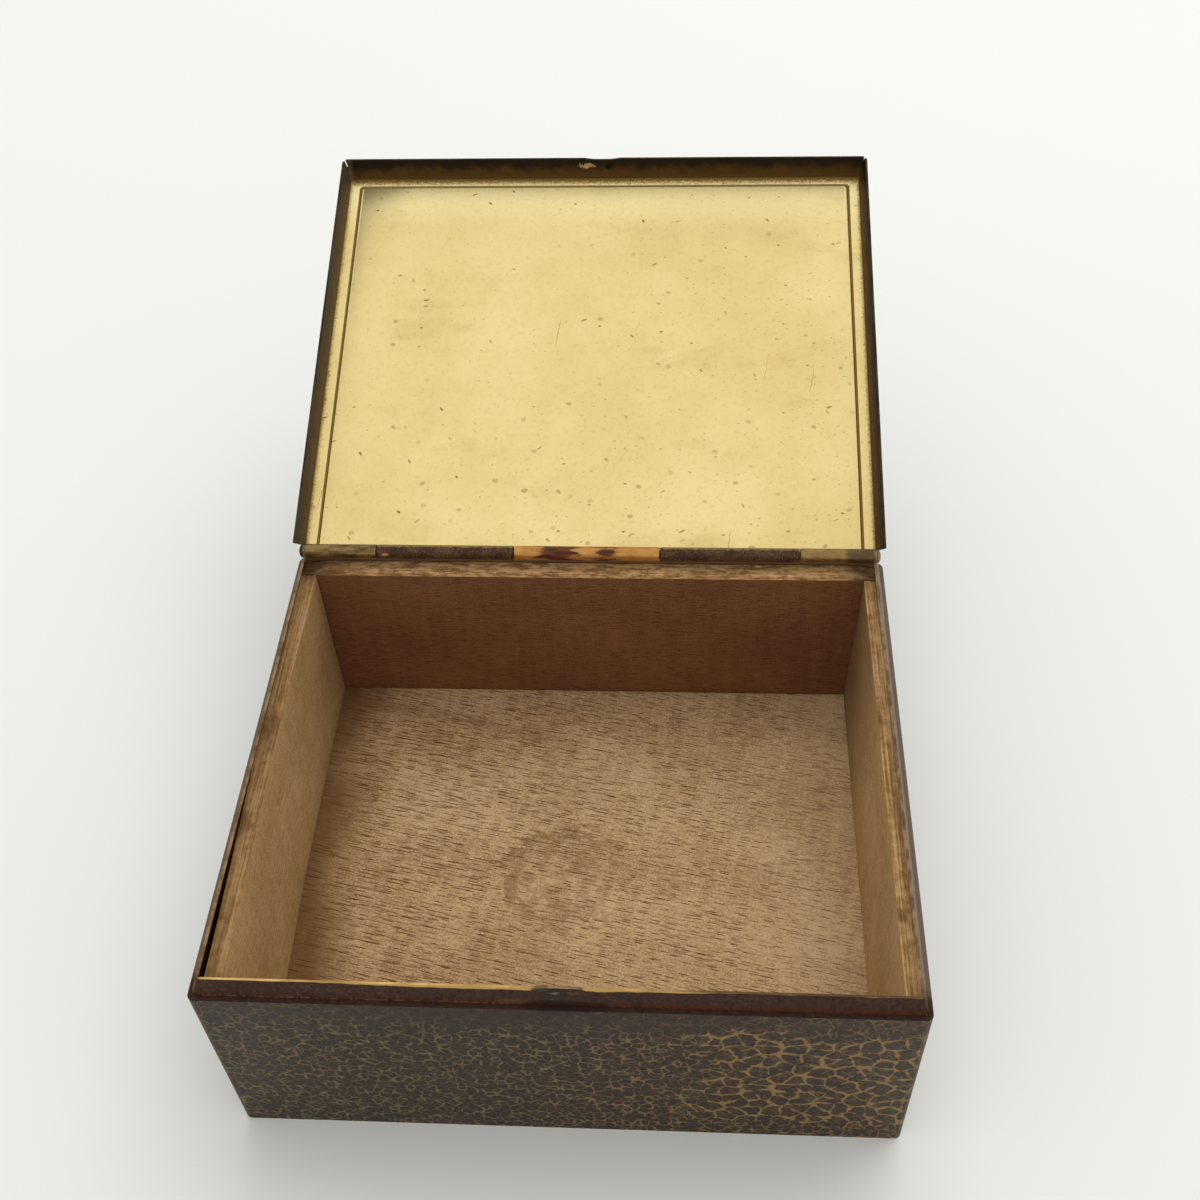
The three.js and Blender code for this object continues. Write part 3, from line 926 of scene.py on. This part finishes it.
def satin_gold():
    finish, tree, shader = new_finish("satin_gold")
    where = place(tree, shut_offset, shut_turn)
    x, y, z = split(tree, where)
    front_gap = plus(tree, y, fold_y)
    side_gap = minus(tree, fold_x, away_from(tree, x))

    cloud = noise(tree, where, 34, 4, 0.6)
    gold = blend(tree, ramp(tree, cloud, 0.3, 0.7), colour(232, 208, 140), colour(242, 220, 154))
    # Painted light: the gold is painted brighter towards the front edge of the panel.
    gold = blend(tree, ramp(tree, front_gap, 16 * mm, 5 * mm), gold, colour(253, 236, 172))
    smudge = ramp(tree, noise(tree, stretched(tree, where, (50, 95, 50)), 1, 4, 0.6), 0.54, 0.78)
    gold = blend(tree, times(tree, smudge, 0.4), gold, colour(196, 162, 92))
    mottle = noise(tree, where, 900, 4, 0.7)
    gold = blend(tree, ramp(tree, mottle, 0.48, 0.78, 0, 0.3), gold, colour(200, 160, 84))
    marks = tarnish(tree, where)
    gold = blend(tree, times(tree, marks, 0.9), gold, colour(124, 80, 26))

    spray = overspray(tree, where, side_gap, front_gap)
    gold = blend(tree, spray, gold, colour(122, 88, 34))
    # The fold is darker: heavier overspray on the bend, and painted shade that keeps the bend from shining.
    fold_spray_and_shade = ramp(tree, front_gap, 0.8 * mm, 0.25 * mm, 0, 0.9)
    gold = blend(tree, fold_spray_and_shade, gold, colour(66, 46, 18))
    groove = ramp(tree, z, panel_z + 0.02 * mm, panel_z + 0.14 * mm)
    gold = blend(tree, times(tree, groove, 0.9), gold, colour(122, 86, 30))
    leaf = ramp(tree, y, rear_y - 0.3 * mm, rear_y)
    gold = blend(tree, times(tree, leaf, 0.8), gold, colour(128, 106, 54))

    flange = ramp(tree, z, panel_z - 0.01 * mm, panel_z - 0.28 * mm)
    fill(tree, shader.inputs["Base Color"], blend(tree, flange, gold, flange_paint_and_light(tree, where)))
    sprayed = times(tree, largest(tree, spray, fold_spray_and_shade), 0.85)
    covered = largest(tree, times(tree, marks, 0.35), sprayed, times(tree, flange, 0.75))
    fill(tree, shader.inputs["Metallic"], minus(tree, 0.95, covered))
    shader.inputs["Specular IOR Level"].default_value = 0.12
    fill(tree, shader.inputs["Roughness"], ramp(tree, cloud, 0.3, 0.7, 0.46, 0.4))
    relief(tree, shader, plus(tree, mottle, noise(tree, where, 1900)), 0.03 * mm, 0.35)
    return finish


lid_gold = satin_gold()
print(lid_gold.name, len(lid_gold.node_tree.nodes), "nodes")

# %% [markdown]
# ## The lid sheet
#
# The lid is drawn shut, as it was bent, and swung open at the end. The photo looks into it,
# so its inner face is modelled, and the thickness goes outwards. A pressed crease runs round
# three sides. The middle panel gets round front corners first, and its edge is then drawn out
# again and again: up and down through the crease, out to the fold and down the flange. Scaling
# about the rear edge moves front and sides outwards and leaves the rear where it is.

# %% Panel
side_margin = 1.7 * mm + side_ease
front_margin = 2.4 * mm
crease_width = 0.75 * mm
panel_corner = 0.7 * mm
panel_x = fold_x - side_margin - crease_width
panel_y = fold_y - front_margin - crease_width
panel_middle = (0, (rear_y - panel_y) / 2, panel_z)
bpy.ops.object.select_all(action="DESELECT")
bpy.ops.mesh.primitive_plane_add(size=1, location=panel_middle)
lid = begin("lid_sheet")
bpy.ops.transform.resize(value=(2 * panel_x, rear_y + panel_y, 1), center_override=panel_middle)
pick("VERT", lambda v: v.co.y < 0)
bpy.ops.mesh.bevel(offset=panel_corner, segments=5, affect="VERTICES")
print("panel:", round(2 * panel_x / mm, 1), "by", round((rear_y + panel_y) / mm, 1), "mm")

# %% Crease and fold
crease_depth = 0.3 * mm
crease_lifts = (0.55, 0.45, 0, -0.45, -0.55)
crease_step = crease_width / len(crease_lifts)
fold_radius = 0.5 * mm
fold_steps = 5


def draw_frame(size, sideways, forwards, rise):
    """Draws the edge out by the given amounts and returns the frame's new half width and depth."""
    grown = (size[0] + sideways, size[1] + forwards)
    draw_out(0, 0, rise)
    bpy.ops.transform.resize(
        value=(grown[0] / size[0], grown[1] / size[1], 1), center_override=(0, rear_y, panel_z))
    return grown


size = (panel_x, panel_y + rear_y)
pick("EDGE", lambda e: middle(e).y < rear_y - mm)
for lift in crease_lifts:
    size = draw_frame(size, crease_step, crease_step, lift * crease_depth)

fold_angle = math.atan2(1, lean_slope)
fold_start = fold_radius * math.tan(fold_angle / 2)
stride = 2 * fold_radius * math.sin(fold_angle / fold_steps / 2)
size = draw_frame(size, side_margin - fold_start, front_margin - fold_start, 0)
for step in range(fold_steps):
    heading = (step + 0.5) / fold_steps * fold_angle
    outwards = stride * math.cos(heading)
    size = draw_frame(size, outwards, outwards, -stride * math.sin(heading))
print("half width at the fold:", round(size[0] / mm, 2), "mm")

# %% [markdown]
# ## Flange, leaves and dent of the lid
#
# The flange goes down in four levels, in front as steep as the lip and at the sides steeper,
# since their fold lies a little further out. At the front corners the sheet is slit, so the
# faces on the diagonal are taken out, and at the rear its ends reach back by a little. The
# knuckles are rolled like those of the case, but downwards. A dent in the rim makes room for
# the bead of the catch.

# %% Flange with slit corners
rim_reach = 1.5 * mm
flange_top = panel_z - fold_start * math.sin(fold_angle)
flange_levels = [flange_top + share * (rim_z - flange_top) for share in (0.3, 0.6, 0.85, 1)]
rim_x = half_width - fold_inset + lean_slope * (panel_z - rim_z)
side_slope = (rim_x - size[0]) / (flange_top - rim_z)
from_z = flange_top
for level in flange_levels:
    drop = from_z - level
    size = draw_frame(size, drop * side_slope, drop * lean_slope, -drop)
    from_z = level


def slit_below(side, top_z):
    """A test for the faces on the diagonal of a front corner, below a height."""
    def test(face):
        across = abs(face.normal.x)
        on_diagonal = across > 0.3 and near(across, abs(face.normal.y), 0.1)
        return on_diagonal and middle(face).x * side > 0 and middle(face).y < 0 and middle(face).z < top_z
    return test


for side, top_z in ((-1, flange_levels[1]), (1, flange_levels[2])):
    count = pick("FACE", slit_below(side, top_z))
    bpy.ops.mesh.delete(type="FACE")
    print("slit faces:", count)
for level in flange_levels:
    pick("VERT", lambda v: near(v.co.z, level) and near(v.co.y, rear_y))
    bpy.ops.transform.translate(value=(0, rim_reach * (panel_z - level) / (panel_z - rim_z), 0))

# %% Leaves and knuckles of the lid
lid_spans = [
    (-outer_end + knuckle_gap / 2, -inner_end - knuckle_gap / 2),
    (inner_end + knuckle_gap / 2, outer_end - knuckle_gap / 2),
]


def on_panel(face):
    return face.normal.z > 0.9 and abs(middle(face).x) < panel_x


for start, end in lid_spans:
    for cut_x in (start, end):
        slice_at(on_panel, (cut_x, 0, 0), (1, 0, 0))
rolled = pick("EDGE", lambda e: e.is_boundary and near(middle(e).y, rear_y)
              and within(lid_spans, middle(e).x))
draw_out(0, hinge.y - rear_y, 0)
bpy.ops.mesh.spin(steps=roll_steps, angle=roll_angle, center=hinge, axis=(1, 0, 0))
print("edges rolled on the lid:", rolled)

# %% The dent of the catch in the lid's rim
dent_patch = 9 * mm
dent_cuts = 17
dent_half = 2.3 * mm
dent_depth = 0.36 * mm
dent_reach = 2.3 * mm


def on_front_flange(face):
    return face.normal.y < -0.8 and middle(face).z < flange_levels[0]


for end in (-1, 1):
    slice_at(on_front_flange, (end * dent_patch, 0, 0), (1, 0, 0))
pick("FACE", lambda f: on_front_flange(f) and abs(middle(f).x) < dent_patch)
bpy.ops.mesh.subdivide(number_cuts=dent_cuts)
pressed = press(lambda v: abs(v.co.x) < dent_half and near(v.co.z, rim_z) and v.co.y < -fold_y,
                (0, dent_depth, 0), dent_reach)
print("vertices in the dent:", pressed)

# %% Thickness, edges and the swing
turn_outwards()
unfold()
bpy.ops.object.mode_set(mode="OBJECT")
for finish in (lid_lacquer, lid_gold, lid_edge):
    lid.data.materials.append(finish)
thicken(lid, 1)
break_edges(lid, sheet_edge)
bpy.ops.object.mode_set(mode="EDIT")
bpy.ops.mesh.select_all(action="SELECT")
bpy.ops.transform.rotate(value=open_angle, orient_axis="X", center_override=hinge)
bpy.ops.object.mode_set(mode="OBJECT")
close(lid, "lid", "lid_brass", "lid_shell")

# %% [markdown]
# ## Three woods
#
# The lining is bare hardwood. Its pores are short dark dashes along the grain, one in most
# cells of a Voronoi texture that is stretched along it. A finer stretched noise gives the
# fibres, a slow one the clouds. The floor is the palest, with a round stain and longer pores
# on the left. The back is redder, and the sawn top edges of the upright boards are rough and
# light.

# %% Pores, fibres and clouds
def hardwood(name, grain_of, tones, pore, sizes, pore_share):
    """Makes the wood's tree. `grain_of` gives coordinates along and across the grain."""
    finish, tree, shader = new_finish(name)
    grain = grain_of(tree)
    fibres = noise(tree, stretched(tree, grain, (240, 2300, 1)), 1, 3, 0.6)
    bands = noise(tree, stretched(tree, grain, (420, 60, 1)), 1)
    cloud = noise(tree, stretched(tree, grain, (30, 60, 1)), 1, 3)
    fleck = noise(tree, grain, 2600)
    parts = ((fibres, 0.3), (bands, 0.1), (cloud, 0.24), (fleck, 0.36))
    tone = plus(tree, *(times(tree, part, share) for part, share in parts))
    wood = blend(tree, ramp(tree, tone, 0.38, 0.62), *tones)
    crowd = ramp(tree, noise(tree, stretched(tree, grain, (130, 70, 1)), 1), 0.3, 0.7, 0.25, 0.8)
    pores = times(tree, dashes(tree, grain, *sizes, crowd), pore_share)
    wood = blend(tree, pores, wood, pore)
    shader.inputs["Roughness"].default_value = 0.72
    shader.inputs["Specular IOR Level"].default_value = 0.25
    relief(tree, shader, minus(tree, times(tree, tone, 0.6), pores), 0.12 * mm, 0.5)
    return finish, tree, shader, wood


# %% Wood of the floor
floor_pores = ((2.7, 0.56), 2.9, 0.22)
stain_centre = (-4.2, -2.1)


def flat_grain(tree):
    return place(tree, turn=(0, 0, math.radians(12)))


def floor_stain(tree, where):
    """A ragged ring with a blotchy middle, stronger at the upper left, and three small spots."""
    x, y, _ = split(tree, where)
    ragged = ramp(tree, noise(tree, where, 260, 4, 0.65), 0.25, 0.75, -3.4 * mm, 3.4 * mm)
    distance = spot(tree, x, y, stain_centre, ragged)
    ring = ramp(tree, away_from(tree, distance, 10.3 * mm), 2.6 * mm, 0.6 * mm)
    ring = times(tree, ring, ramp(tree, noise(tree, where, 150, 3), 0.36, 0.62, 0.2, 1))
    ring = times(tree, ring, ramp(tree, minus(tree, y, x), -10 * mm, 12 * mm, 0.35, 1))
    blot = ramp(tree, noise(tree, where, 420, 3), 0.4, 0.62, 0.1, 0.6)
    stain = largest(tree, ring, times(tree, ramp(tree, distance, 13 * mm, 11 * mm), blot))
    small = ramp(tree, noise(tree, where, 620, 3), 0.25, 0.75, -1.2 * mm, 1.2 * mm)
    soft = 0.8
    spots = (((-28.9, -0.7), 1.1, 0.75), ((-26.4, -8.0), 1.4, 0.4), ((-22, -13), 2, 0.2))
    for centre, radius, share in spots:
        away = spot(tree, x, y, centre, small)
        mark = ramp(tree, away, (radius + soft) * mm, (radius - soft) * mm)
        stain = largest(tree, stain, times(tree, mark, share))
    return stain


def floor_hardwood():
    tones = (colour(156, 122, 80), colour(208, 176, 132))
    pore = colour(96, 56, 16)
    finish, tree, shader, wood = hardwood("floor_hardwood", flat_grain, tones, pore, floor_pores, 1.0)
    where = place(tree)
    x, y, _ = split(tree, where)
    wood = blend(tree, times(tree, floor_stain(tree, where), 0.6), wood, colour(122, 86, 44))

    wander = ramp(tree, noise(tree, where, 55, 3), 0.25, 0.75, -3 * mm, 3 * mm)
    left_gap = plus(tree, x, 56 * mm, wander)
    # Darker along the left board: a brown stain, and the board's painted shadow.
    wood = blend(tree, ramp(tree, left_gap, 16 * mm, 0, 0, 0.9), wood, colour(110, 78, 42))
    crowd = ramp(tree, x, 15 * mm, -45 * mm, 0.1, 0.7)
    long_pores = dashes(tree, flat_grain(tree), (5.5, 0.85), 6, 0.24, crowd)
    wood = blend(tree, long_pores, wood, colour(92, 54, 16))
    # Painted light: the floor is painted lighter towards the right wall.
    wood = blend(tree, ramp(tree, x, 25 * mm, 55 * mm, 0, 0.16), wood, colour(240, 208, 160))

    across = plus(tree, times(tree, x, 0.22), y, times(tree, wander, 0.3))
    streak = ramp(tree, away_from(tree, across, 31 * mm), 2.4 * mm, 0.5 * mm, 0, 0.3)
    streak = times(tree, streak, ramp(tree, x, 0, -12 * mm))
    fill(tree, shader.inputs["Base Color"], blend(tree, streak, wood, colour(120, 84, 48)))
    return finish


floor_wood = floor_hardwood()
print(floor_wood.name, len(floor_wood.node_tree.nodes), "nodes")

# %% Wood of the upright boards
upright_pores = ((2.3, 0.6), 2.2, 0.2)
along_x = 0
along_y = 1


def upright_grain(axis):
    """Grain that runs level along a wall: along X or Y, and Z across."""
    def grain(tree):
        parts = split(tree, place(tree))
        return put(tree, "CombineXYZ", {"X": parts[axis], "Y": parts[2]}).outputs[0]
    return grain


def upright_hardwood(name, axis, tones, pore, pore_share, saw_run, top_tones):
    """Wood of a side, along Y, or of the back, along X. A low `saw_run` gives long saw marks."""
    finish, tree, shader, wood = hardwood(name, upright_grain(axis), tones, pore, upright_pores, pore_share)
    where = place(tree)
    x, y, z = split(tree, where)
    run = [1500, 1500, 1500]
    run[axis] = saw_run
    marks = times(tree, noise(tree, stretched(tree, where, run), 1, 4, 0.7), 0.7)
    saw = plus(tree, marks, times(tree, noise(tree, where, 620, 4, 0.7), 0.3))
    sawn = blend(tree, ramp(tree, saw, 0.4, 0.6), *top_tones)
    handling = 0.7 if axis == along_y else 0.2
    handled = ramp(tree, noise(tree, where, 70, 4, 0.65), 0.5, 0.64, 0, handling)
    sawn = blend(tree, handled, sawn, colour(106, 68, 36))
    if axis == along_y:
        # Painted shade: the top of the left board is painted darker.
        sawn = blend(tree, ramp(tree, x, -mm, mm, 0.42, 0), sawn, colour(118, 82, 46))
        # Painted shade: the side boards are painted darker towards the back, the right one more.
        painted_back_shade = times(tree, ramp(tree, y, 0, 45 * mm, 0, 0.6), ramp(tree, x, -mm, mm, 0.35, 1))
        wood = blend(tree, painted_back_shade, wood, colour(78, 50, 30))
    else:
        ends = ramp(tree, away_from(tree, x), 49 * mm, 57 * mm, 0, 0.65)
        sawn = blend(tree, ends, sawn, colour(84, 58, 38))
    on_top = ramp(tree, z, lining_top - 0.4 * mm, lining_top - 0.12 * mm)
    fill(tree, shader.inputs["Base Color"], blend(tree, on_top, wood, sawn))
    return finish


side_wood = upright_hardwood(
    "side_hardwood", along_y, (colour(162, 128, 80), colour(204, 170, 122)), colour(112, 78, 42), 0.55, 40,
    (colour(144, 104, 60), colour(212, 174, 120)))
back_wood = upright_hardwood(
    "back_hardwood", along_x, (colour(106, 68, 40), colour(138, 94, 60)), colour(62, 34, 18), 0.8, 300,
    (colour(150, 106, 64), colour(232, 188, 130)))
print("upright woods:", side_wood.name, back_wood.name)

# %% [markdown]
# ## The boards
#
# Each board is a cut piece of its own, with a hair of room to its neighbours. A cube of the
# board's size is subdivided, so that it can bow a little, and its sawn edges are broken by a
# bevel. The left board has come loose at the front and stands off the case there, the right
# one leans in at its foot, and the top of the back one is raised between its ends. The base
# is a sheet and not a board, but it is made the same way.

# %% The boards
board_cuts = 23
board_edge = 0.25 * mm
floor_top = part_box("floor_board")[1].z


def board(name, node, slot, finish, shift=(0, 0, 0), moved=None, reach=1.0):
    low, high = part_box(node)
    bpy.ops.object.select_all(action="DESELECT")
    bpy.ops.mesh.primitive_cube_add(size=1, location=(low + high) / 2, scale=high - low)
    piece = begin(name)
    bpy.ops.mesh.select_all(action="SELECT")
    bpy.ops.mesh.subdivide(number_cuts=board_cuts)
    unfold()
    if moved:
        press(moved, shift, reach)
    bpy.ops.object.mode_set(mode="OBJECT")
    break_edges(piece, board_edge)
    piece.data.materials.append(finish)
    close(piece, "case", slot, node)


def back_top(vertex):
    return vertex.co.z > lining_top - 0.1 * mm and abs(vertex.co.x) < half_width - 3 * mm


board("floor_panel", "floor_board", "floor_wood", floor_wood)
board("back_lining", "back_board", "back_wood", back_wood, (0, 0, 0.9 * mm), back_top, 4 * mm)
board("front_lining", "front_board", "side_wood", side_wood)
board("left_lining", "left_board", "side_wood", side_wood,
      (0.95 * mm, 0, 0), lambda v: v.co.y < -straight_y + 6 * mm, 55 * mm)
board("right_lining", "right_board", "side_wood", side_wood,
      (-0.9 * mm, 0, 0), lambda v: v.co.z < floor_top + mm, 38 * mm)
board("base_sheet", "base_plate", "lacquered_case", case_lacquer)

# %% [markdown]
# ## The pin
#
# One wire runs through all the knuckles and both ears, and its ends are hammered wider so that
# it can't slip out. It is a cylinder on its side. Each end face is drawn out in place and
# scaled up to the head, drawn out along the pin, and drawn out once more and scaled down for
# the rounded tip.

# %% The pin
pin_low, pin_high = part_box("hinge_pin")
pin_radius = 0.85 * mm
head_radius = (pin_high.z - pin_low.z) / 2
head_length = 0.7 * mm
straight_share = 0.6
tip_share = 0.6
spread = head_radius / pin_radius
shank = pin_high.x - head_length
bpy.ops.object.select_all(action="DESELECT")
bpy.ops.mesh.primitive_cylinder_add(
    vertices=24, radius=pin_radius, depth=2 * shank, location=hinge, rotation=(0, math.radians(90), 0))
pin = begin("pin_wire")
for side in (-1, 1):
    pick("FACE", lambda f: f.normal.x * side > 0.9 and middle(f).x * side > 0)
    draw_out(0, 0, 0)
    bpy.ops.transform.resize(value=(1, spread, spread), center_override=hinge)
    draw_out(side * straight_share * head_length, 0, 0)
    draw_out(side * (1 - straight_share) * head_length, 0, 0)
    bpy.ops.transform.resize(value=(1, tip_share, tip_share), center_override=hinge)
turn_outwards()
bpy.ops.object.mode_set(mode="OBJECT")
pin.data.materials.append(pin_brass)
close(pin, "case", "pin_wire", "hinge_pin")

# %% [markdown]
# ## Camera
#
# The camera stands where the photograph was taken: in front, above and a little to the right.
# Its place, its three angles and its lens come from fitting the corners of the box to the
# picture. A camera looks along its own -Z with +Y up, so the three directions of the view are
# the columns of its rotation.

# %% Camera
camera_place = Vector((20.06, -158.61, 261.38)) * mm
pitch = math.radians(47.399)
yaw = math.radians(-4.931)
roll = math.radians(2.978)
ahead = Vector((math.sin(yaw) * math.cos(pitch), math.cos(yaw) * math.cos(pitch), -math.sin(pitch)))
level = Vector((math.cos(yaw), -math.sin(yaw), 0))
below = ahead.cross(level)
right = math.cos(roll) * level + math.sin(roll) * below
down = math.cos(roll) * below - math.sin(roll) * level
camera_data = bpy.data.cameras.new("camera")
camera_data.sensor_width = 36
camera_data.lens = 43.82
camera_data.clip_start = 0.01
camera = bpy.data.objects.new("camera", camera_data)
bpy.context.scene.collection.objects.link(camera)
facing = Matrix((right, -down, -ahead)).transposed().to_4x4()
camera.matrix_world = Matrix.Translation(camera_place) @ facing
bpy.context.scene.camera = camera
print("camera", round(camera_place.length / mm), "mm from the origin")

# %% [markdown]
# ## Floor and light
#
# The box stands on a pale, matt surface in an even studio light. The white world gives that
# light. It is a little dimmer as a light than it looks to the camera and in reflections, so
# that the background stays white while the box isn't washed out. One large, soft lamp from
# above and behind adds a direction, and mirror-like faces don't show it.

# %% Pale floor
floor_size = 6
bpy.ops.object.select_all(action="DESELECT")
bpy.ops.mesh.primitive_plane_add(size=floor_size, location=(0, 0, -hairline))
ground = bpy.context.active_object
ground.name = "pale_floor"
floor_finish, tree, shader = new_finish("pale_floor")
pale = blend(tree, noise(tree, place(tree), 3), colour(238, 239, 234), colour(242, 243, 238))
fill(tree, shader.inputs["Base Color"], pale)
shader.inputs["Roughness"].default_value = 0.9
shader.inputs["Specular IOR Level"].default_value = 0.1
ground.data.materials.append(floor_finish)
print("floor lies", round(hairline / mm, 2), "mm below the box")

# %% World and lamp
light_share = 0.75
world = bpy.data.worlds.new("studio")
bpy.context.scene.world = world
world.use_nodes = True
sky = world.node_tree
background = sky.nodes["Background"]
background.inputs["Color"].default_value = (1, 1, 1, 1)
rays = put(sky, "LightPath", {}).outputs
seen = largest(sky, rays["Is Camera Ray"], rays["Is Glossy Ray"], rays["Is Transmission Ray"])
fill(sky, background.inputs["Strength"], ramp(sky, seen, 0, 1, light_share, 1))

lamp_data = bpy.data.lights.new("soft_key", "AREA")
lamp_data.shape = "RECTANGLE"
lamp_data.size = 1.4
lamp_data.size_y = 1.0
lamp_data.energy = 9
lamp = bpy.data.objects.new("soft_key", lamp_data)
bpy.context.scene.collection.objects.link(lamp)
lamp.location = (0.3, 0.6, 1.4)
lamp.visible_glossy = False
lamp.rotation_euler = lamp.location.to_track_quat("Z", "Y").to_euler()
bpy.context.scene.view_settings.view_transform = "Standard"
print("lamp of", lamp_data.energy, "W,", round(lamp.location.length, 2), "m away")
